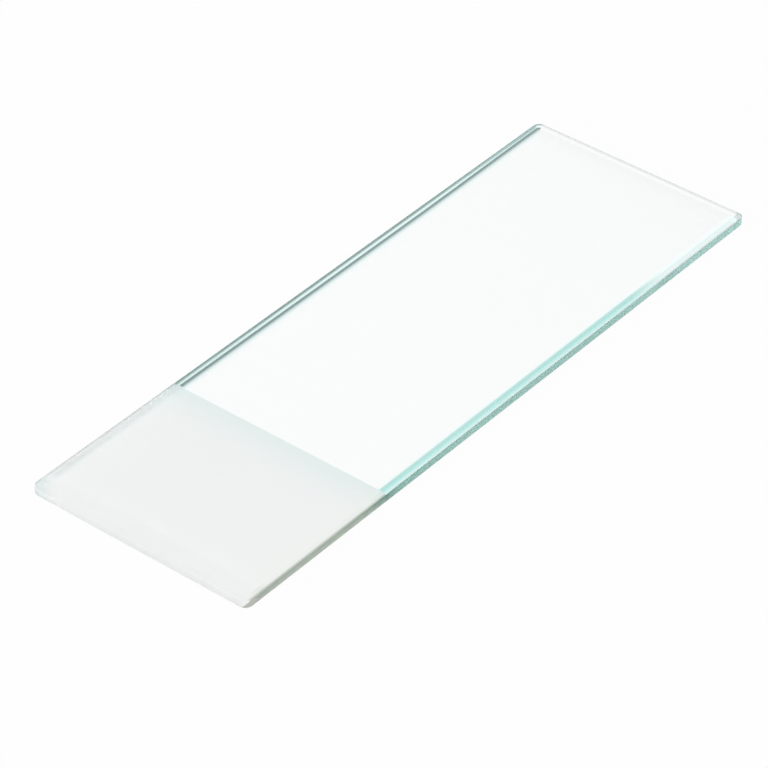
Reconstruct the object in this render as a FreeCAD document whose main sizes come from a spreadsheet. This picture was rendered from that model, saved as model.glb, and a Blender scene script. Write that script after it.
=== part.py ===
"""Microscope slide: one plate of clear glass with ground edges and a frosted writing end.

Frame: origin at the middle of the underside, +X along the length and away from the frosted
end, +Y across the width, +Z up through the thickness. Millimetres.
"""

import FreeCAD, Part
import os
import Sketcher

# name, size, what it measures
SIZES = [
    ("slide_length", 76.0, "over the two ground ends"),
    ("slide_width", 26.0, "over the two long ground edges"),
    ("slide_thickness", 1.2, "of the drawn sheet glass"),
    ("corner_radius", 0.8, "plan radius of the four upright corners"),
    ("bevel_width", 0.6, "of the ground bevels, in from the edge across each face"),
    ("bevel_drop", 0.2, "of the ground bevels, down the edge from each face"),
    ("frost_length", 19.5, "of the frosted writing end, from the end of the slide"),
    ("frost_depth", 0.02, "that the etching eats into the top face"),
]
TOLERANCE = 1e-6
HORIZONTAL_AXIS = -1  # the number of a sketch's X axis, whose start is the origin
START, END = 1, 2  # the two ends of a line


def make_sheet(doc):
    """The driving sizes, one to a row: name, value, note."""
    sheet = doc.addObject("Spreadsheet::Sheet", "sizes")
    for row, (name, value, note) in enumerate(SIZES, start=1):
        sheet.set(f"A{row}", name)
        sheet.set(f"B{row}", str(value))
        sheet.set(f"C{row}", note)
        sheet.setAlias(f"B{row}", name)
    doc.recompute()
    return sheet


def add_sketch(body, name, role):
    """An empty sketch on the one of the body's own planes that has this role."""
    plane = next(item for item in body.Origin.OriginFeatures if item.Role == role)
    sketch = body.newObject("Sketcher::SketchObject", name)
    sketch.AttachmentSupport = [(plane, "")]
    sketch.MapMode = "FlatFace"
    return sketch


def draw_loop(sketch, corners):
    """A closed loop of straight lines, and the number of its first line."""
    first = sketch.GeometryCount
    points = [FreeCAD.Vector(x, y, 0) for x, y in corners]
    for start, end in zip(points, points[1:] + points[:1]):
        sketch.addGeometry(Part.LineSegment(start, end))
    lines = range(first, first + len(points))
    for line, following in zip(lines, list(lines[1:]) + [first]):
        sketch.addConstraint(Sketcher.Constraint("Coincident", line, END, following, START))
    return first


def draw_rectangle(sketch, left, right, half_width):
    """A rectangle, level and symmetric about the X axis: bottom, right, top, left."""
    draw_loop(sketch, [(left, -half_width), (right, -half_width), (right, half_width), (left, half_width)])
    for line, direction in ((0, "Horizontal"), (2, "Horizontal"), (3, "Vertical")):
        sketch.addConstraint(Sketcher.Constraint(direction, line))
    # the two ends of the right side mirror each other in the X axis, so it stands upright
    sketch.addConstraint(Sketcher.Constraint("Symmetric", 1, START, 1, END, HORIZONTAL_AXIS))


def name_size(sketch, constraint, name, expression):
    """Add a sketch dimension and drive it from the sheet."""
    index = sketch.addConstraint(constraint)
    sketch.renameConstraint(index, name)
    sketch.setExpression(f"Constraints.{name}", expression)


def edge_names(shape, wanted):
    """Names of the shape's edges that pass the test."""
    return [f"Edge{number}" for number, edge in enumerate(shape.Edges, start=1) if wanted(edge)]


def is_upright(edge):
    direction = edge.tangentAt(edge.FirstParameter)
    return abs(direction.x) + abs(direction.y) < TOLERANCE


def is_underneath(edge):
    return all(abs(vertex.Z) < TOLERANCE for vertex in edge.Vertexes)


def cut_plate(doc, body):
    """The plate as cut from the sheet."""
    outline = add_sketch(body, "plate_outline", "XY_Plane")
    length, width = doc.sizes.slide_length, doc.sizes.slide_width
    draw_rectangle(outline, -length / 2, length / 2, width / 2)
    name_size(outline, Sketcher.Constraint("DistanceX", HORIZONTAL_AXIS, START, 1, START, length / 2),
              "half_length", "sizes.slide_length / 2")
    name_size(outline, Sketcher.Constraint("DistanceX", 0, START, 0, END, length),
              "length", "sizes.slide_length")
    name_size(outline, Sketcher.Constraint("DistanceY", 1, START, 1, END, width),
              "width", "sizes.slide_width")
    blank = body.newObject("PartDesign::Pad", "plate_blank")
    blank.Profile = outline
    blank.setExpression("Length", "sizes.slide_thickness")
    doc.recompute()
    return blank


def round_corners(doc, body, blank):
    """Grind the four upright corners round."""
    corners = body.newObject("PartDesign::Fillet", "rounded_corners")
    corners.Base = (blank, edge_names(blank.Shape, is_upright))
    corners.setExpression("Radius", "sizes.corner_radius")
    doc.recompute()
    return corners


def draw_wedge(sketch, sizes, face, height):
    """The corner of the plate's cross-section that the wheel grinds off, below or above an edge.

    Its sides are the run across the face, the drop down the edge and the bevel between them.
    """
    edge, run = sizes.slide_width / 2, sizes.bevel_width
    drop = sizes.bevel_drop if height == 0 else -sizes.bevel_drop
    across = draw_loop(sketch, [(edge - run, height), (edge, height), (edge, height + drop)])
    down = across + 1
    sketch.addConstraint(Sketcher.Constraint("Horizontal", across))
    sketch.addConstraint(Sketcher.Constraint("Vertical", down))
    name_size(sketch, Sketcher.Constraint("DistanceX", HORIZONTAL_AXIS, START, across, END, edge),
              f"{face}_edge", "sizes.slide_width / 2")
    name_size(sketch, Sketcher.Constraint("DistanceX", across, START, across, END, run),
              f"{face}_width", "sizes.bevel_width")
    low, high = (START, END) if height == 0 else (END, START)
    name_size(sketch, Sketcher.Constraint("DistanceY", down, low, down, high, abs(drop)),
              f"{face}_drop", "sizes.bevel_drop")
    if height == 0:
        sketch.addConstraint(Sketcher.Constraint("PointOnObject", across, END, HORIZONTAL_AXIS))
    else:
        name_size(sketch, Sketcher.Constraint("DistanceY", HORIZONTAL_AXIS, START, across, END, height),
                  f"{face}_height", "sizes.slide_thickness")


def grind_bevels(doc, body, plate):
    """Sweep both wedges round the whole outline, straight sides and corners alike."""
    wedges = add_sketch(body, "bevel_wedges", "YZ_Plane")
    draw_wedge(wedges, doc.sizes, "underside", 0)
    draw_wedge(wedges, doc.sizes, "top", doc.sizes.slide_thickness)
    bevels = body.newObject("PartDesign::SubtractivePipe", "ground_bevels")
    bevels.Profile = wedges
    bevels.Spine = (plate, edge_names(plate.Shape, is_underneath))
    bevels.Mode = "Frenet"
    doc.recompute()
    return bevels


def etch_writing_end(doc, body):
    """Lower the top face by the depth of the etching, over one end and out to its ground edges."""
    zone = add_sketch(body, "frosted_zone", "XY_Plane")
    zone.setExpression("AttachmentOffset.Base.z", "sizes.slide_thickness")
    length, width, frost = doc.sizes.slide_length, doc.sizes.slide_width, doc.sizes.frost_length
    draw_rectangle(zone, -length / 2, frost - length / 2, width / 2)
    name_size(zone, Sketcher.Constraint("DistanceX", 0, START, HORIZONTAL_AXIS, START, length / 2),
              "half_length", "sizes.slide_length / 2")
    name_size(zone, Sketcher.Constraint("DistanceX", 0, START, 0, END, frost),
              "frost_length", "sizes.frost_length")
    name_size(zone, Sketcher.Constraint("DistanceY", 1, START, 1, END, width),
              "width", "sizes.slide_width")
    etching = body.newObject("PartDesign::Pocket", "etched_end")
    etching.Profile = zone
    etching.setExpression("Length", "sizes.frost_depth")
    doc.recompute()
    return etching


def check_cut(name, before, after, most):
    """Stop unless the cut took away most of what its size allows, and print what it took."""
    removed = before.Shape.Volume - after.Shape.Volume
    if not 0.8 * most < removed < 1.001 * most:
        raise RuntimeError(f"{name} removed {removed:.3f} of {most:.3f} cubic mm")
    print(f"{name}: {removed:.2f} cubic mm")


def check(doc, body, plate, ground, etched):
    """Stop unless every feature built, and the bevels and the etching took glass away."""
    for item in doc.Objects:
        if "Invalid" in item.State or "Error" in item.State:
            raise RuntimeError(f"{item.Label} did not build: {item.State}")
    shape = body.Shape
    if shape.isNull() or not shape.isValid() or len(shape.Solids) != 1:
        raise RuntimeError("the slide is not one valid solid")
    sizes = doc.sizes
    outline = 2 * (sizes.slide_length + sizes.slide_width)
    check_cut(ground.Label, plate, ground, outline * sizes.bevel_width * sizes.bevel_drop)
    check_cut(etched.Label, ground, etched, sizes.frost_length * sizes.slide_width * sizes.frost_depth)
    print(f"{body.Label}: {shape.Volume:.2f} cubic mm, {len(shape.Faces)} faces")


def main():
    doc = FreeCAD.newDocument("microscope_slide")
    make_sheet(doc)
    body = doc.addObject("PartDesign::Body", "glass_slide")
    body.Label = "glass_slide"
    blank = cut_plate(doc, body)
    plate = round_corners(doc, body, blank)
    ground = grind_bevels(doc, body, plate)
    etched = etch_writing_end(doc, body)
    check(doc, body, plate, ground, etched)
    os.makedirs("parts", exist_ok=True)
    body.Shape.exportStep(f"parts/{body.Label}.step")


main()
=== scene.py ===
# A glass microscope slide with one frosted writing end, lying on its back face
import math
from types import SimpleNamespace
import bpy
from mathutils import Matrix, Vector


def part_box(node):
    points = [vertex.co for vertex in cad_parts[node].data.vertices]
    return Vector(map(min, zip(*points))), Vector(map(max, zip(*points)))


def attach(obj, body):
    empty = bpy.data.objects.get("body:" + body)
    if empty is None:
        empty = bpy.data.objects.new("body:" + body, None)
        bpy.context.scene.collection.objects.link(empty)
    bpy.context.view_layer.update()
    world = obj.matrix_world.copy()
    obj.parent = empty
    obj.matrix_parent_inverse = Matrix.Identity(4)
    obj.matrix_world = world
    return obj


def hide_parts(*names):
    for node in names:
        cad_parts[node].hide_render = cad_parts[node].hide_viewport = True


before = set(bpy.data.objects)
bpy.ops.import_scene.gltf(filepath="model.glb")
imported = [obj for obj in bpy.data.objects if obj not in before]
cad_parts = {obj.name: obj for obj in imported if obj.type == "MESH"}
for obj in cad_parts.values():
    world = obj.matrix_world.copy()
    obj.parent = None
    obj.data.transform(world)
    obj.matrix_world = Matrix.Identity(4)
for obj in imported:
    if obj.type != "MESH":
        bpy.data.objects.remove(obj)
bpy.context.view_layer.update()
scene = bpy.context.scene
mm = 0.001
low, high = (Vector(corner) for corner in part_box("glass_slide"))
size = high - low
print("frame loaded: slide of %.1f x %.1f x %.2f mm" % tuple(side / mm for side in size))


def addNode(tree, kind, **settings):
    node = tree.nodes.new(kind)
    for name, value in settings.items():
        setattr(node, name, value)
    return node


def feed(tree, socket, value):
    # a socket takes either another node's output or a plain value
    if isinstance(value, bpy.types.NodeSocket):
        tree.links.new(value, socket)
    else:
        socket.default_value = value


def maths(tree, operation, *values):
    node = addNode(tree, "ShaderNodeMath", operation=operation)
    for socket, value in zip(node.inputs, values):
        feed(tree, socket, value)
    return node.outputs[0]


def product(tree, first, *others):
    for other in others:
        first = maths(tree, "MULTIPLY", first, other)
    return first


def hypotenuse(tree, first, second):
    squares = maths(tree, "ADD", product(tree, first, first), product(tree, second, second))
    return maths(tree, "SQRT", squares)


def combine(tree, x=0.0, y=0.0, z=0.0):
    node = addNode(tree, "ShaderNodeCombineXYZ")
    for socket, value in zip(node.inputs, (x, y, z)):
        feed(tree, socket, value)
    return node.outputs[0]


# The slide: a flat outline, with one edge section swept round it and the etched end sunk into the top
slide = {
    "Bevel Width": 0.6 * mm,          # of a ground bevel, seen from above
    "Bevel Drop": 0.2 * mm,           # how far it falls from its face
    "Corner Radius": 0.8 * mm,
    "Corner Steps": 24,
    "Arris Rounding": 0.03 * mm,      # the blunted line between a side and its bevels
    "Arris Steps": 8,
    "Frost Length": 19.5 * mm,
    "Etch Depth": 0.02 * mm,
    "Etch Slope": 8.0,                # how far the etching's border runs out for each step of its depth
    "Cutter Margin": 1.0 * mm,        # how far the block that cuts the etching stands past the slide
    "Weld": 0.001 * mm,               # points closer than this become one
    "Sharp Above": math.radians(12),  # faces that meet at more than this stay crisp
}


def sweepTree():
    tree = bpy.data.node_groups.new("slideFromSizes", "GeometryNodeTree")
    for name in ("Length", "Width", "Thickness", "Bevel Width", "Bevel Drop", "Corner Radius",
                 "Arris Rounding", "Frost Length", "Etch Depth", "Etch Slope", "Cutter Margin", "Weld",
                 "Sharp Above"):
        tree.interface.new_socket(name=name, in_out="INPUT", socket_type="NodeSocketFloat")
    for name in ("Corner Steps", "Arris Steps"):
        tree.interface.new_socket(name=name, in_out="INPUT", socket_type="NodeSocketInt")
    tree.interface.new_socket(name="Glass", in_out="INPUT", socket_type="NodeSocketMaterial")
    tree.interface.new_socket(name="Slide", in_out="OUTPUT", socket_type="NodeSocketGeometry")
    given = addNode(tree, "NodeGroupInput").outputs

    # the outline of the flat face, with its corners turned
    flat = addNode(tree, "GeometryNodeCurvePrimitiveQuadrilateral", mode="RECTANGLE")
    twoBevels = maths(tree, "MULTIPLY", given["Bevel Width"], 2.0)
    feed(tree, flat.inputs["Width"], maths(tree, "SUBTRACT", given["Length"], twoBevels))
    feed(tree, flat.inputs["Height"], maths(tree, "SUBTRACT", given["Width"], twoBevels))
    turned = addNode(tree, "GeometryNodeFilletCurve", mode="POLY")
    feed(tree, turned.inputs["Curve"], flat.outputs["Curve"])
    feed(tree, turned.inputs["Count"], given["Corner Steps"])
    feed(tree, turned.inputs["Radius"],
         maths(tree, "SUBTRACT", given["Corner Radius"], given["Bevel Width"]))
    path = addNode(tree, "GeometryNodeSetCurveNormal", mode="Z_UP")
    feed(tree, path.inputs["Curve"], turned.outputs["Curve"])

    # the edge's section: bevel, side and bevel, with the two arrises blunted
    section = addNode(tree, "GeometryNodeCurvePrimitiveQuadrilateral", mode="POINTS")
    upperArris = maths(tree, "SUBTRACT", given["Thickness"], given["Bevel Drop"])
    for name, inset, height in (
        ("Point 1", 0.0, given["Thickness"]),
        ("Point 2", given["Bevel Width"], upperArris),
        ("Point 3", given["Bevel Width"], given["Bevel Drop"]),
        ("Point 4", 0.0, 0.0),
    ):
        # the swept section's second axis points down
        feed(tree, section.inputs[name], combine(tree, inset, maths(tree, "MULTIPLY", height, -1.0)))
    opened = addNode(tree, "GeometryNodeSetSplineCyclic")
    feed(tree, opened.inputs["Geometry"], section.outputs["Curve"])
    feed(tree, opened.inputs["Cyclic"], False)
    blunted = addNode(tree, "GeometryNodeFilletCurve", mode="POLY")
    feed(tree, blunted.inputs["Curve"], opened.outputs["Geometry"])
    feed(tree, blunted.inputs["Count"], given["Arris Steps"])
    feed(tree, blunted.inputs["Radius"], given["Arris Rounding"])
    edge = addNode(tree, "GeometryNodeCurveToMesh")
    feed(tree, edge.inputs["Curve"], path.outputs["Curve"])
    feed(tree, edge.inputs["Profile Curve"], blunted.outputs["Curve"])

    # the two flat faces close the swept edge
    face = addNode(tree, "GeometryNodeFillCurve", mode="NGONS")
    feed(tree, face.inputs["Curve"], turned.outputs["Curve"])
    top = addNode(tree, "GeometryNodeTransform")
    feed(tree, top.inputs["Geometry"], face.outputs["Mesh"])
    feed(tree, top.inputs["Translation"], combine(tree, z=given["Thickness"]))
    bottom = addNode(tree, "GeometryNodeFlipFaces")
    feed(tree, bottom.inputs["Mesh"], face.outputs["Mesh"])
    joined = addNode(tree, "GeometryNodeJoinGeometry")
    for part in (edge.outputs["Mesh"], top.outputs["Geometry"], bottom.outputs["Mesh"]):
        tree.links.new(part, joined.inputs["Geometry"])
    closed = addNode(tree, "GeometryNodeMergeByDistance")
    feed(tree, closed.inputs["Geometry"], joined.outputs["Geometry"])
    feed(tree, closed.inputs["Distance"], given["Weld"])

    # the etched end lies a hair below the polished face
    cutter = addNode(tree, "GeometryNodeMeshCube")
    cutLength = maths(tree, "ADD", given["Frost Length"], given["Cutter Margin"])
    cutDepth = maths(tree, "ADD", given["Etch Depth"], given["Cutter Margin"])
    twoMargins = maths(tree, "MULTIPLY", given["Cutter Margin"], 2.0)
    cutWidth = maths(tree, "ADD", given["Width"], twoMargins)
    feed(tree, cutter.inputs["Size"], combine(tree, cutLength, cutWidth, cutDepth))
    placed = addNode(tree, "GeometryNodeTransform")
    feed(tree, placed.inputs["Geometry"], cutter.outputs["Mesh"])
    # its middle lies half its length before the etching's border, and half its depth above its floor
    border = maths(tree, "SUBTRACT", given["Frost Length"], maths(tree, "MULTIPLY", given["Length"], 0.5))
    middleX = maths(tree, "SUBTRACT", border, maths(tree, "MULTIPLY", cutLength, 0.5))
    etchFloor = maths(tree, "SUBTRACT", given["Thickness"], given["Etch Depth"])
    middleZ = maths(tree, "ADD", etchFloor, maths(tree, "MULTIPLY", cutDepth, 0.5))
    feed(tree, placed.inputs["Translation"], combine(tree, x=middleX, z=middleZ))
    # the block leans, so that the etching fades out over a narrow slope
    leant = addNode(tree, "GeometryNodeSetPosition")
    feed(tree, leant.inputs["Geometry"], placed.outputs["Geometry"])
    place = addNode(tree, "ShaderNodeSeparateXYZ")
    feed(tree, place.inputs[0], addNode(tree, "GeometryNodeInputPosition").outputs[0])
    above = maths(tree, "SUBTRACT", place.outputs[2], given["Thickness"])
    feed(tree, leant.inputs["Offset"], combine(tree, x=maths(tree, "MULTIPLY", above, given["Etch Slope"])))
    etched = addNode(tree, "GeometryNodeMeshBoolean", operation="DIFFERENCE", solver="EXACT")
    feed(tree, etched.inputs["Mesh 1"], closed.outputs["Geometry"])
    feed(tree, etched.inputs["Mesh 2"], leant.outputs["Geometry"])

    # smooth round the arrises and corners, crisp between the faces
    smooth = addNode(tree, "GeometryNodeSetShadeSmooth", domain="FACE")
    feed(tree, smooth.inputs["Geometry"], etched.outputs["Mesh"])
    angle = addNode(tree, "GeometryNodeInputMeshEdgeAngle")
    crisp = addNode(tree, "GeometryNodeSetShadeSmooth", domain="EDGE")
    feed(tree, crisp.inputs["Geometry"], smooth.outputs["Geometry"])
    feed(tree, crisp.inputs["Selection"],
         maths(tree, "GREATER_THAN", angle.outputs["Unsigned Angle"], given["Sharp Above"]))
    feed(tree, crisp.inputs["Shade Smooth"], False)

    realized = addNode(tree, "GeometryNodeRealizeInstances")
    feed(tree, realized.inputs["Geometry"], crisp.outputs["Geometry"])
    dressed = addNode(tree, "GeometryNodeSetMaterial")
    feed(tree, dressed.inputs["Geometry"], realized.outputs["Geometry"])
    feed(tree, dressed.inputs["Material"], given["Glass"])
    feed(tree, addNode(tree, "NodeGroupOutput").inputs["Slide"], dressed.outputs["Geometry"])
    return tree


def buildSlide(material):
    maker = bpy.data.objects.new("slideMaker", bpy.data.meshes.new("slideMaker"))
    scene.collection.objects.link(maker)
    tree = sweepTree()
    sweep = maker.modifiers.new("sweep", "NODES")
    sweep.node_group = tree
    values = dict(slide, Length=size.x, Width=size.y, Thickness=size.z, Glass=material)
    for item in tree.interface.items_tree:
        if item.in_out == "INPUT":
            sweep[item.identifier] = values[item.name]
    # flat faces keep flat shading right up to the curves beside them
    even = maker.modifiers.new("evenNormals", "WEIGHTED_NORMAL")
    even.keep_sharp = True
    bpy.context.view_layer.update()
    made = maker.evaluated_get(bpy.context.evaluated_depsgraph_get())
    mesh = bpy.data.meshes.new_from_object(made)
    mesh.name = "microscopeSlide"
    piece = bpy.data.objects.new("microscopeSlide", mesh)
    scene.collection.objects.link(piece)
    bpy.data.objects.remove(maker)
    print("slide made:", len(mesh.vertices), "points,", len(mesh.polygons), "faces")
    return piece


# Clear soda-lime glass: greenish only through a long path, with ground edges and one etched end.
# Tints are base colours, each listed with its place in millimetres. The edge, side and face tints are painted
# shade, painted shadow lines and painted highlights that stand in for how the edges bend and trap light.
glass = {
    "ior": 1.52,
    "absorption": 23.1,                    # per metre for red, the strongest
    "passed": (0.0, 0.416, 0.346),         # what share of that each colour is spared
    "roughness": {
        "longEdge": 0.25,
        "endEdge": 0.05,
        "etchedFace": 0.45,
        "etchedBevel": 0.35,
        "etchedLongSide": 1.0,
        "etchedEndSide": 1.0,
        "etchedUnder": 1.0,
        "etchedRim": 0.3,
    },
    "grain": {
        "etchScale": 7000.0,               # grains per metre
        "etchDepth": 0.004 * mm,
        "etchTint": 0.012,
        "etchRoughness": 0.12,
        "streaksAcross": 11000.0,          # grinding marks per metre
        "streaksAlong": 260.0,
        "streakDepth": 0.0001 * mm,
        "streakRoughness": 0.16,
    },
    "glow": {                              # painted glow: emission that stands in for light that leaves a rough surface after a long way round
        "etchedEnd": 0.11,
        "etchedFoot": 0.25,                # the share of it that is left at the foot of the side
        "rim": 0.018,
        "rimLift": 0.028,
        "longSide": (0.068, 0.098, 0.09),
    },
    "acrossSpan": 3.0 * mm,                # how far in from the outline the edges' painted shade and highlights reach
    "paintedEdgeShading": {                        # painted shade, shadow lines and highlights at the edges; places count inwards from the outline
        "nearTop": (
            (0.0, (1.0, 1.0, 1.0)), (0.1, (0.66, 1.0, 0.97)), (0.25, (0.40, 0.93, 0.86)),
            (0.45, (0.27, 0.76, 0.68)), (0.70, (0.23, 0.55, 0.50)), (0.78, (0.34, 0.66, 0.61)),
            (0.88, (0.78, 0.94, 0.94)), (1.1, (0.92, 0.965, 0.955)), (1.4, (0.95, 0.965, 0.955))),
        "nearTopPale": (
            (0.12, (0.5, 0.66, 0.64)), (0.2, (0.82, 1.0, 0.97)), (0.6, (0.77, 1.0, 0.99)),
            (0.9, (0.89, 0.97, 0.96)), (1.4, (0.95, 0.965, 0.955))),
        "farTop": (
            (0.0, (0.8, 1.0, 0.97)), (0.15, (0.7, 1.0, 0.95)), (0.23, (0.35, 0.60, 0.56)),
            (0.30, (0.14, 0.31, 0.275)), (0.50, (0.14, 0.33, 0.295)), (0.58, (0.48, 0.78, 0.73)),
            (0.64, (0.80, 1.0, 1.0)), (0.8, (0.78, 1.0, 1.0)), (0.92, (0.95, 0.965, 0.955))),
        # painted shadow: dark lines where the far edge's shadow is seen through the glass
        "farUnderShadow": (
            (0.12, (0.07, 0.09, 0.09)), (0.17, (1.0, 1.0, 1.0)), (0.34, (1.0, 1.0, 1.0)),
            (0.40, (0.45, 0.75, 0.72)), (0.45, (0.035, 0.08, 0.075)), (0.64, (0.035, 0.08, 0.075)),
            (0.75, (0.22, 0.34, 0.33)), (0.9, (0.57, 0.74, 0.75)), (1.1, (0.86, 0.94, 0.95)),
            (1.35, (0.96, 0.99, 1.0)), (1.6, (1.0, 1.0, 1.0))),
        "endTop": (
            (0.2, (1.0, 1.0, 1.0)), (0.35, (0.86, 0.865, 0.865)), (0.5, (0.78, 0.79, 0.79)),
            (0.6, (0.80, 0.81, 0.81)), (0.7, (0.95, 0.95, 0.95)), (0.8, (1.0, 1.0, 1.0)),
            (0.95, (1.0, 1.0, 1.0)), (1.15, (0.91, 0.925, 0.915)), (1.6, (0.93, 0.945, 0.935)),
            (2.9, (0.95, 0.965, 0.955))),
        "endUnder": (
            (0.6, (1.0, 1.0, 1.0)), (0.7, (0.97, 0.97, 0.97)), (1.2, (0.98, 0.98, 0.98)),
            (2.6, (1.0, 1.0, 1.0))),
        "frostNearTop": (
            (0.0, (0.48, 0.52, 0.43)), (0.12, (0.50, 0.54, 0.45)), (0.20, (0.95, 0.97, 0.92)),
            (0.6, (1.0, 1.0, 0.97)), (3.0, (1.0, 1.0, 1.0))),
        "frostFarTop": (
            (0.0, (0.75, 0.81, 0.81)), (0.1, (0.80, 0.86, 0.86)), (0.2, (0.93, 0.98, 0.975)),
            (0.5, (0.92, 0.96, 0.955)), (0.65, (0.85, 0.92, 0.915)), (1.1, (0.845, 0.91, 0.905)),
            (1.4, (0.93, 0.97, 0.965)), (1.65, (0.968, 0.985, 0.983)), (2.1, (0.985, 0.99, 0.99)),
            (3.0, (1.0, 1.0, 1.0))),
    },
    "paintedShadingAlong": {                        # painted shade along the sides, the far edge and both faces; places count from the frosted end
        "nearSide": (
            (0.0, (0.44, 0.49, 0.42)), (2.0, (0.46, 0.51, 0.43)), (5.0, (0.53, 0.59, 0.49)),
            (14.5, (0.53, 0.60, 0.48)), (17.0, (0.49, 0.60, 0.47)), (18.6, (0.48, 0.64, 0.53)),
            (19.4, (0.66, 0.92, 0.8)), (19.6, (0.41, 0.66, 0.565)), (22.0, (0.46, 0.71, 0.63)),
            (26.0, (0.58, 0.84, 0.77)), (31.0, (0.72, 0.96, 0.91)), (50.0, (0.77, 1.0, 0.97)),
            (62.0, (0.82, 1.0, 1.0))),
        "farSide": ((19.4, (0.9, 0.92, 0.9)), (19.6, (0.75, 1.0, 0.95))),
        "farEdge": ((19.5, (0.85, 0.87, 0.87)), (30.0, (0.88, 0.9, 0.9)), (45.0, (1.0, 1.0, 1.0))),
        "face": (
            (20.0, (1.0, 1.0, 1.0)), (45.0, (0.992, 0.99, 0.99)), (60.0, (0.982, 0.98, 0.98)),
            (68.0, (0.967, 0.965, 0.966)), (76.0, (0.94, 0.938, 0.94))),
        "frostFace": (
            (1.9, (1.0, 1.0, 1.0)), (2.6, (0.938, 0.943, 0.933)), (3.6, (0.952, 0.956, 0.948)),
            (10.0, (0.955, 0.96, 0.951)), (14.0, (0.94, 0.955, 0.95)), (16.0, (0.928, 0.952, 0.946)),
            (17.5, (0.895, 0.944, 0.942)), (18.5, (0.83, 0.93, 0.922)), (19.4, (0.77, 0.90, 0.89))),
    },
    "paintedCornerShade": (0.64, 0.66, 0.68),     # painted shade on the bevel at the clear end's near corner
    "frostCornerShade": (0.91, 0.947, 0.943),   # painted bluish shade over the frosted end's far corner
    "fades": {                             # from where to where a change comes in, in millimetres
        "farLinesAtFrost": (45.0, 20.0),   # these count from the frosted end
        "farLinesAtClear": (54.0, 78.0),
        "palerNearTop": (57.0, 64.0),
        "paintedCornerShade": (74.75, 74.95),
        "longSideGlow": (50.0, 72.0),
        "etchedSide": (22.0, 17.5),
        "rim": (3.8, 1.2),
        "liftIn": (1.0, 1.8),
        "liftOut": (2.5, 2.0),
        "farBand": (1.2, 0.8),             # these count inwards from the outline
        "faceShade": (0.95, 1.3),
        "cornerAcross": (-0.3, 0.1),       # past the line where the corner starts to turn
        "frostCornerShade": (2.3, 0.9),         # from the corner's point
    },
    "turnFade": (0.5, 0.1),                # in quarter turns round a corner
    "drawnAtFrost": 0.06 * mm,             # how far the far edge's painted shade lines draw out at each end
    "drawnAtClear": 0.15 * mm,
    "underShift": 0.6 * mm,                # how far past the border the painted shadow lines under the glass begin
    "faceSlant": 0.3,                      # the painted shade across the face leans towards the near corner
    "sideSkin": 0.1 * mm,                  # nearer to the outline than this is a side
    "groundMargin": 0.002 * mm,            # the bevels' inner border itself counts as polished
    # how far the painted shade of each long edge runs on round the clear end's corners, as a slope
    "nearReach": 0.2,
    "farReach": 2.4,
}


def opposite(tree, mask):
    return maths(tree, "SUBTRACT", 1.0, mask)


def between(tree, mask, outside, inside):
    # one number where the mask is 0 and another where it is 1
    if not isinstance(outside, bpy.types.NodeSocket) and not isinstance(inside, bpy.types.NodeSocket):
        return maths(tree, "ADD", outside, maths(tree, "MULTIPLY", mask, inside - outside))
    return maths(tree, "ADD", maths(tree, "MULTIPLY", mask, inside),
                 maths(tree, "MULTIPLY", opposite(tree, mask), outside))


def mixed(tree, factor, first, second, blend="MIX"):
    node = addNode(tree, "ShaderNodeMix", data_type="RGBA", blend_type=blend)
    feed(tree, node.inputs["Factor"], factor)
    for socket, value in ((node.inputs[6], first), (node.inputs[7], second)):
        feed(tree, socket, value if isinstance(value, bpy.types.NodeSocket) else (*value, 1.0))
    return node.outputs[2]


def tintRamp(tree, distance, stops, span):
    node = addNode(tree, "ShaderNodeValToRGB")
    feed(tree, node.inputs["Fac"], maths(tree, "DIVIDE", distance, span))
    elements = node.color_ramp.elements
    while len(elements) < len(stops):
        elements.new(1.0)
    for element, (position, tint) in zip(elements, stops):
        element.position = position * mm / span
        element.color = (*tint, 1.0)
    return node.outputs["Color"]


def fade(tree, value, start, end):
    # 0 up to the start and 1 from the end on, with soft shoulders
    node = addNode(tree, "ShaderNodeMapRange", interpolation_type="SMOOTHSTEP")
    feed(tree, node.inputs["Value"], value)
    feed(tree, node.inputs["From Min"], start)
    feed(tree, node.inputs["From Max"], end)
    return node.outputs[0]


def fadeOf(tree, value, name):
    start, end = glass["fades"][name]
    return fade(tree, value, start * mm, end * mm)


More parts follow.
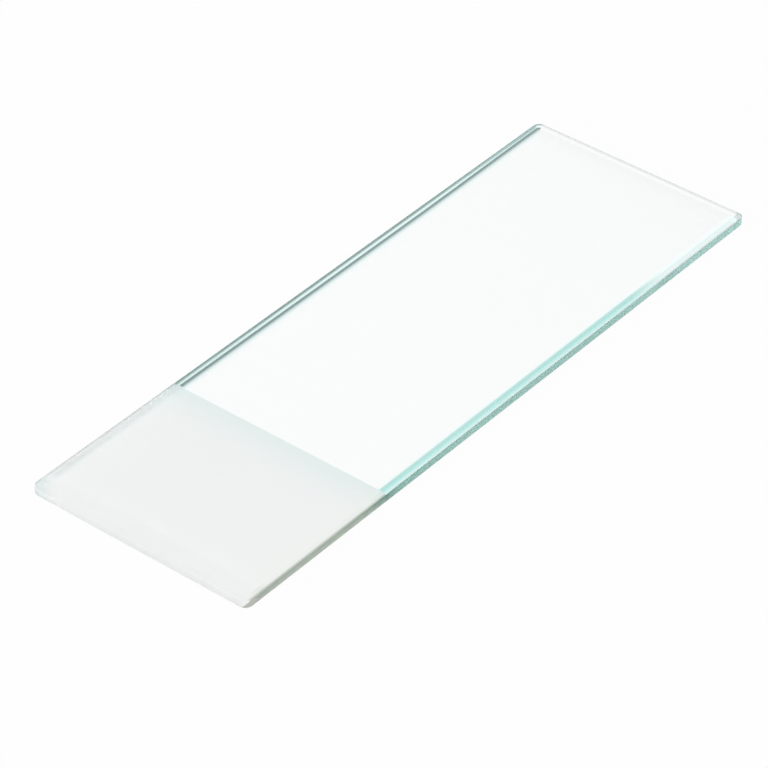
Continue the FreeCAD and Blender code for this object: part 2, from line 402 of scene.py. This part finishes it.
def placeOnSlide(tree):
    # where a point lies, told from the slide's own coordinates
    spot = addNode(tree, "ShaderNodeSeparateXYZ")
    feed(tree, spot.inputs[0], addNode(tree, "ShaderNodeTexCoord").outputs["Object"])
    x, y, z = spot.outputs
    # how far in from the outline, round the corners too
    radius = slide["Corner Radius"]
    pastX = maths(tree, "SUBTRACT", maths(tree, "ABSOLUTE", x), size.x / 2 - radius)
    pastY = maths(tree, "SUBTRACT", maths(tree, "ABSOLUTE", y), size.y / 2 - radius)
    straight = maths(tree, "MINIMUM", maths(tree, "MAXIMUM", pastX, pastY), 0.0)
    turnX = maths(tree, "MAXIMUM", pastX, 0.0)
    turnY = maths(tree, "MAXIMUM", pastY, 0.0)
    inset = maths(tree, "SUBTRACT", radius, maths(tree, "ADD", straight, hypotenuse(tree, turnX, turnY)))
    # how far from the frosted end
    distance = maths(tree, "ADD", x, size.x / 2)
    # which of the surfaces
    ground = maths(tree, "LESS_THAN", inset, slide["Bevel Width"] - glass["groundMargin"])
    onTop = maths(tree, "GREATER_THAN", z, size.z - slide["Bevel Drop"])
    onUnder = maths(tree, "LESS_THAN", z, slide["Bevel Drop"])
    farSide = maths(tree, "GREATER_THAN", y, 0.0)
    clearEnd = maths(tree, "GREATER_THAN", x, 0.0)
    inFrost = maths(tree, "LESS_THAN", distance, slide["Frost Length"])
    underFrost = maths(tree, "LESS_THAN", distance, slide["Frost Length"] + glass["underShift"])
    # the long edges' painted shade reaches further or less far round the corners of the clear end
    reach = between(tree, farSide, glass["nearReach"], glass["farReach"])
    slope = maths(tree, "ADD", 1.0, maths(tree, "MULTIPLY", clearEnd, maths(tree, "SUBTRACT", reach, 1.0)))
    line = maths(tree, "ADD", maths(tree, "MULTIPLY", slope, turnY), maths(tree, "MINIMUM", pastY, 0.0))
    # the side's painted shade goes right round at the clear end, and thins out to a point at the frosted end
    turn = maths(tree, "DIVIDE", maths(tree, "ARCTAN2", turnX, turnY), math.pi / 2)
    wedge = maths(tree, "MULTIPLY", size.z, opposite(tree, turn))
    sideReach = maths(tree, "MAXIMUM", maths(tree, "LESS_THAN", z, wedge), clearEnd)
    beside = maths(tree, "GREATER_THAN", pastY, maths(tree, "MINIMUM", pastX, 0.0))
    return SimpleNamespace(
        x=x, y=y, z=z, pastY=pastY, turn=turn, inset=inset, distance=distance,
        ground=ground, onTop=onTop, onUnder=onUnder, farSide=farSide, nearSide=opposite(tree, farSide),
        inFrost=inFrost, underFrost=underFrost, alongLong=maths(tree, "LESS_THAN", pastX, line),
        onLongSide=maths(tree, "MULTIPLY", sideReach, beside),
        etchedFace=maths(tree, "MULTIPLY", inFrost, onTop),
        pale=fadeOf(tree, distance, "palerNearTop"), rim=fadeOf(tree, distance, "rim"))


def baseTint(tree, at, fine):
    white = (1.0, 1.0, 1.0)

    def across(name, inset=at.inset):
        return tintRamp(tree, inset, glass["paintedEdgeShading"][name], glass["acrossSpan"])

    def along(name, distance=at.distance):
        return tintRamp(tree, distance, glass["paintedShadingAlong"][name], size.x)

    # the painted shade lines along the far edge draw together towards both ends of the clear part
    nearFrost = fadeOf(tree, at.distance, "farLinesAtFrost")
    nearClear = fadeOf(tree, at.distance, "farLinesAtClear")
    drawn = maths(tree, "ADD", product(tree, nearFrost, glass["drawnAtFrost"]),
                  product(tree, nearClear, glass["drawnAtClear"]))
    farInset = maths(tree, "ADD", at.inset, drawn)

    # the clear part's painted shade, shadow lines and highlights, from above, from below and from the side
    nearTop = mixed(tree, at.pale, across("nearTop"), across("nearTopPale"))
    farTop = mixed(tree, fadeOf(tree, at.inset, "farBand"), across("farTop", farInset), along("farEdge"),
                   blend="MULTIPLY")
    top = mixed(tree, at.alongLong, across("endTop"), mixed(tree, at.farSide, nearTop, farTop))
    # painted shade: the face grows darker towards the clear end
    slant = maths(tree, "SUBTRACT", at.distance, maths(tree, "MULTIPLY", at.y, glass["faceSlant"]))
    top = mixed(tree, fadeOf(tree, at.inset, "faceShade"), top, along("face", slant), blend="MULTIPLY")
    # painted shade on the bevel at the clear end's near corner
    corner = product(tree, at.ground, at.nearSide, fadeOf(tree, at.distance, "paintedCornerShade"),
                     fadeOf(tree, at.pastY, "cornerAcross"))
    top = mixed(tree, corner, top, glass["paintedCornerShade"], blend="MULTIPLY")
    longUnder = mixed(tree, at.farSide, white, across("farUnderShadow", farInset))
    under = mixed(tree, at.underFrost, mixed(tree, at.alongLong, across("endUnder"), longUnder), white)
    # painted shade on the long sides, teal and darker near the frosted end
    longSide = mixed(tree, at.farSide, along("nearSide"), along("farSide"))
    side = mixed(tree, at.onLongSide, white, longSide)
    clear = mixed(tree, at.onTop, mixed(tree, at.onUnder, side, under), top)

    # the frosted end's painted shade, darker and greener towards the clear part and a little bluer at its far
    # corner
    rounding = maths(tree, "MINIMUM", at.alongLong, fade(tree, at.turn, *glass["turnFade"]))
    frostEdges = mixed(tree, at.farSide, across("frostNearTop"), across("frostFarTop"))
    frostEdges = mixed(tree, rounding, white, frostEdges)
    frostTop = mixed(tree, 1.0, frostEdges, along("frostFace"), blend="MULTIPLY")
    frost = mixed(tree, at.onTop, mixed(tree, at.onUnder, side, white), frostTop)
    fromCorner = hypotenuse(tree, at.distance, maths(tree, "SUBTRACT", size.y / 2, at.y))
    atCorner = fadeOf(tree, fromCorner, "frostCornerShade")
    frost = mixed(tree, atCorner, frost, glass["frostCornerShade"], blend="MULTIPLY")
    shade = opposite(tree, product(tree, at.etchedFace, fine, glass["grain"]["etchTint"]))
    return mixed(tree, 1.0, mixed(tree, at.inFrost, clear, frost), shade, blend="MULTIPLY")


def paintedGlowTint(tree, at):
    # painted glow: emission on the etched end stands in for the light that it scatters more than once
    glow = glass["glow"]
    lift = product(tree, fadeOf(tree, at.distance, "liftIn"), fadeOf(tree, at.distance, "liftOut"))
    rimGlow = maths(tree, "ADD", glow["rim"], maths(tree, "MULTIPLY", lift, glow["rimLift"]))
    faceGlow = maths(tree, "MULTIPLY", at.onTop, maths(tree, "MULTIPLY", at.rim, rimGlow))
    endGlow = product(tree, opposite(tree, at.onTop), opposite(tree, at.onLongSide),
                      maths(tree, "LESS_THAN", at.inset, glass["sideSkin"]), glow["etchedEnd"])
    upwards = maths(tree, "ADD", glow["etchedFoot"], maths(tree, "DIVIDE", at.z, size.z))
    etched = product(tree, maths(tree, "ADD", faceGlow, endGlow), at.inFrost,
                     maths(tree, "MINIMUM", upwards, 1.0))
    # painted glow: emission on the near side, towards the clear end, stands in for light that has run inside
    # the sheet
    offSide = maths(tree, "MAXIMUM", at.farSide, maths(tree, "MAXIMUM", at.onTop, at.onUnder))
    leaving = product(tree, at.onLongSide, opposite(tree, offSide), fadeOf(tree, at.distance, "longSideGlow"))
    return mixed(tree, leaving, combine(tree, x=etched, y=etched, z=etched), glow["longSide"])


def surfaceRoughness(tree, at, fine, rub):
    rough, grain = glass["roughness"], glass["grain"]
    changing = fadeOf(tree, at.distance, "etchedSide")
    nearPale = product(tree, at.pale, at.nearSide)
    longSide = between(tree, changing, rough["longEdge"], rough["etchedLongSide"])
    longBevel = between(tree, nearPale, rough["longEdge"], rough["endEdge"])
    longEdge = between(tree, at.onTop, longSide, longBevel)
    grinding = product(tree, at.ground, between(tree, at.alongLong, rough["endEdge"], longEdge))
    # the etching runs over the frosted end and a little way under it
    etchedFace = between(tree, at.rim, rough["etchedFace"], rough["etchedRim"])
    etchedTop = between(tree, at.ground, etchedFace, rough["etchedBevel"])
    etchedSide = between(tree, at.onLongSide, rough["etchedEndSide"], longSide)
    etchedUnder = product(tree, at.rim, rough["etchedUnder"])
    etching = between(tree, at.onTop, between(tree, at.ground, etchedUnder, etchedSide), etchedTop)
    # neither is quite even
    rubUneven = maths(tree, "MULTIPLY", maths(tree, "SUBTRACT", rub, 0.5), grain["streakRoughness"])
    fineUneven = maths(tree, "MULTIPLY", maths(tree, "SUBTRACT", fine, 0.5), grain["etchRoughness"])
    uneven = between(tree, at.etchedFace, rubUneven, fineUneven)
    return product(tree, between(tree, at.inFrost, grinding, etching), maths(tree, "ADD", 1.0, uneven))


def etchNoise(tree, at):
    noise = addNode(tree, "ShaderNodeTexNoise")
    feed(tree, noise.inputs["Vector"], combine(tree, x=at.x, y=at.y, z=at.z))
    feed(tree, noise.inputs["Scale"], glass["grain"]["etchScale"])
    return noise.outputs[0]


def grindingNoise(tree, at):
    # the marks run along each edge
    across, along = glass["grain"]["streaksAcross"], glass["grain"]["streaksAlong"]
    noise = addNode(tree, "ShaderNodeTexNoise")
    feed(tree, noise.inputs["Scale"], 1.0)
    feed(tree, noise.inputs["Vector"], combine(
        tree, x=maths(tree, "MULTIPLY", at.x, between(tree, at.alongLong, across, along)),
        y=maths(tree, "MULTIPLY", at.y, between(tree, at.alongLong, along, across)),
        z=maths(tree, "MULTIPLY", at.z, across)))
    return noise.outputs[0]


def glassMaterial():
    material = bpy.data.materials.new("clearGlass")
    material.use_nodes = True
    tree = material.node_tree
    tree.nodes.clear()
    output = addNode(tree, "ShaderNodeOutputMaterial")
    surface = addNode(tree, "ShaderNodeBsdfPrincipled")
    surface.inputs["Transmission Weight"].default_value = 1.0
    surface.inputs["IOR"].default_value = glass["ior"]
    feed(tree, output.inputs["Surface"], surface.outputs[0])
    body = addNode(tree, "ShaderNodeVolumeAbsorption")
    body.inputs["Density"].default_value = glass["absorption"]
    body.inputs["Color"].default_value = (*glass["passed"], 1.0)
    feed(tree, output.inputs["Volume"], body.outputs[0])

    at = placeOnSlide(tree)
    fine = etchNoise(tree, at)
    rub = grindingNoise(tree, at)
    feed(tree, surface.inputs["Base Color"], baseTint(tree, at, fine))
    feed(tree, surface.inputs["Roughness"], surfaceRoughness(tree, at, fine, rub))
    feed(tree, surface.inputs["Emission Color"], paintedGlowTint(tree, at))
    surface.inputs["Emission Strength"].default_value = 1.0
    material.cycles.emission_sampling = "NONE"  # too faint to be worth a lamp's share of the work

    rubbed = product(tree, at.ground, rub, glass["grain"]["streakDepth"])
    pitted = product(tree, fine, glass["grain"]["etchDepth"])
    relief = addNode(tree, "ShaderNodeBump")
    feed(tree, relief.inputs["Strength"], 1.0)
    feed(tree, relief.inputs["Distance"], 1.0)
    feed(tree, relief.inputs["Height"], between(tree, at.etchedFace, rubbed, pitted))
    feed(tree, surface.inputs["Normal"], relief.outputs[0])
    print("glass mixed")
    return material


microscopeSlide = buildSlide(glassMaterial())
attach(microscopeSlide, "root")
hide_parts("glass_slide")


# The room: a white floor that only a faint shadow marks, soft lamps and an even white sky
room = {
    "floorSize": 4.0,
    "floorGap": 0.001 * mm,
    "floorWhite": 0.955,          # what the floor gives by itself, towards the camera and the glass
    "floorPaint": 0.04,           # the share that takes light and shadow
    "skyWhite": 1.0,
    "skyOnFloor": 0.6,
    "bounces": 96,                # light runs a long way inside the sheet
    "lamps": {
        "softKey": {"azimuth": -10, "elevation": 62, "distance": 1.0, "width": 1.0, "watts": 2.4},
        "softFill": {"azimuth": 150, "elevation": 55, "distance": 1.1, "width": 1.2, "watts": 1.6},
        "endFill": {"azimuth": -95, "elevation": 25, "distance": 1.0, "width": 0.8, "watts": 3.0},
    },
}


def seenDirectly(tree):
    # 1 for rays from the camera and for those that glass or gloss sends on
    path = addNode(tree, "ShaderNodeLightPath")
    seen = maths(tree, "MAXIMUM", path.outputs["Is Camera Ray"], path.outputs["Is Glossy Ray"])
    return maths(tree, "MAXIMUM", seen, path.outputs["Is Transmission Ray"])


def buildFloor():
    material = bpy.data.materials.new("whiteBench")
    material.use_nodes = True
    tree = material.node_tree
    tree.nodes.clear()
    glow = addNode(tree, "ShaderNodeEmission")
    feed(tree, glow.inputs["Strength"], maths(tree, "MULTIPLY", seenDirectly(tree), room["floorWhite"]))
    paint = addNode(tree, "ShaderNodeBsdfDiffuse")
    paint.inputs["Color"].default_value = (*[room["floorPaint"]] * 3, 1.0)
    both = addNode(tree, "ShaderNodeAddShader")
    feed(tree, both.inputs[0], glow.outputs[0])
    feed(tree, both.inputs[1], paint.outputs[0])
    feed(tree, addNode(tree, "ShaderNodeOutputMaterial").inputs["Surface"], both.outputs[0])
    half = room["floorSize"] / 2
    level = low.z - room["floorGap"]
    mesh = bpy.data.meshes.new("bench")
    mesh.from_pydata([(-half, -half, level), (half, -half, level), (half, half, level), (-half, half, level)],
                     [], [(0, 1, 2, 3)])
    mesh.materials.append(material)
    bench = bpy.data.objects.new("bench", mesh)
    scene.collection.objects.link(bench)


def buildSky():
    world = bpy.data.worlds.new("evenSky")
    world.use_nodes = True
    scene.world = world
    tree = world.node_tree
    tree.nodes.clear()
    strength = addNode(tree, "ShaderNodeMapRange")
    feed(tree, strength.inputs["Value"], seenDirectly(tree))
    feed(tree, strength.inputs["To Min"], room["skyOnFloor"])
    feed(tree, strength.inputs["To Max"], room["skyWhite"])
    sky = addNode(tree, "ShaderNodeBackground")
    feed(tree, sky.inputs["Strength"], strength.outputs[0])
    feed(tree, addNode(tree, "ShaderNodeOutputWorld").inputs["Surface"], sky.outputs[0])


def direction(azimuth, elevation):
    # azimuth 0 looks along +Y at the near long edge, and grows towards the clear end
    turn, lift = math.radians(azimuth), math.radians(elevation)
    return Vector((math.sin(turn) * math.cos(lift), -math.cos(turn) * math.cos(lift), math.sin(lift)))


def addLamp(name, azimuth, elevation, distance, width, watts):
    data = bpy.data.lights.new(name, "AREA")
    data.shape = "DISK"
    data.size = width
    data.energy = watts
    lamp = bpy.data.objects.new(name, data)
    away = direction(azimuth, elevation)
    lamp.location = away * distance
    lamp.rotation_euler = away.to_track_quat("Z", "Y").to_euler()
    scene.collection.objects.link(lamp)


buildFloor()
buildSky()
for lampName, lampValues in room["lamps"].items():
    addLamp(lampName, **lampValues)
print("room lit")


# The camera looks down the slide from its frosted end's near corner
view = {
    "azimuth": -50.727,
    "elevation": 37.93,
    "distance": 398.905 * mm,
    "aim": Vector((-4.85, -1.615, 0.0)) * mm,
    "lens": 197.34,
    "sensor": 36.0,
    "nearest": 10.0 * mm,
    "farthest": 20.0,
}


def buildCamera():
    data = bpy.data.cameras.new("viewCamera")
    data.lens = view["lens"]
    data.sensor_width = view["sensor"]
    data.clip_start = view["nearest"]
    data.clip_end = view["farthest"]
    camera = bpy.data.objects.new("viewCamera", data)
    back = direction(view["azimuth"], view["elevation"])
    camera.location = view["aim"] + back * view["distance"]
    camera.rotation_euler = back.to_track_quat("Z", "Y").to_euler()
    scene.collection.objects.link(camera)
    scene.camera = camera


buildCamera()
scene.view_settings.view_transform = "Standard"
scene.cycles.max_bounces = room["bounces"]
scene.cycles.transmission_bounces = room["bounces"]
scene.cycles.glossy_bounces = room["bounces"]
print("camera placed")
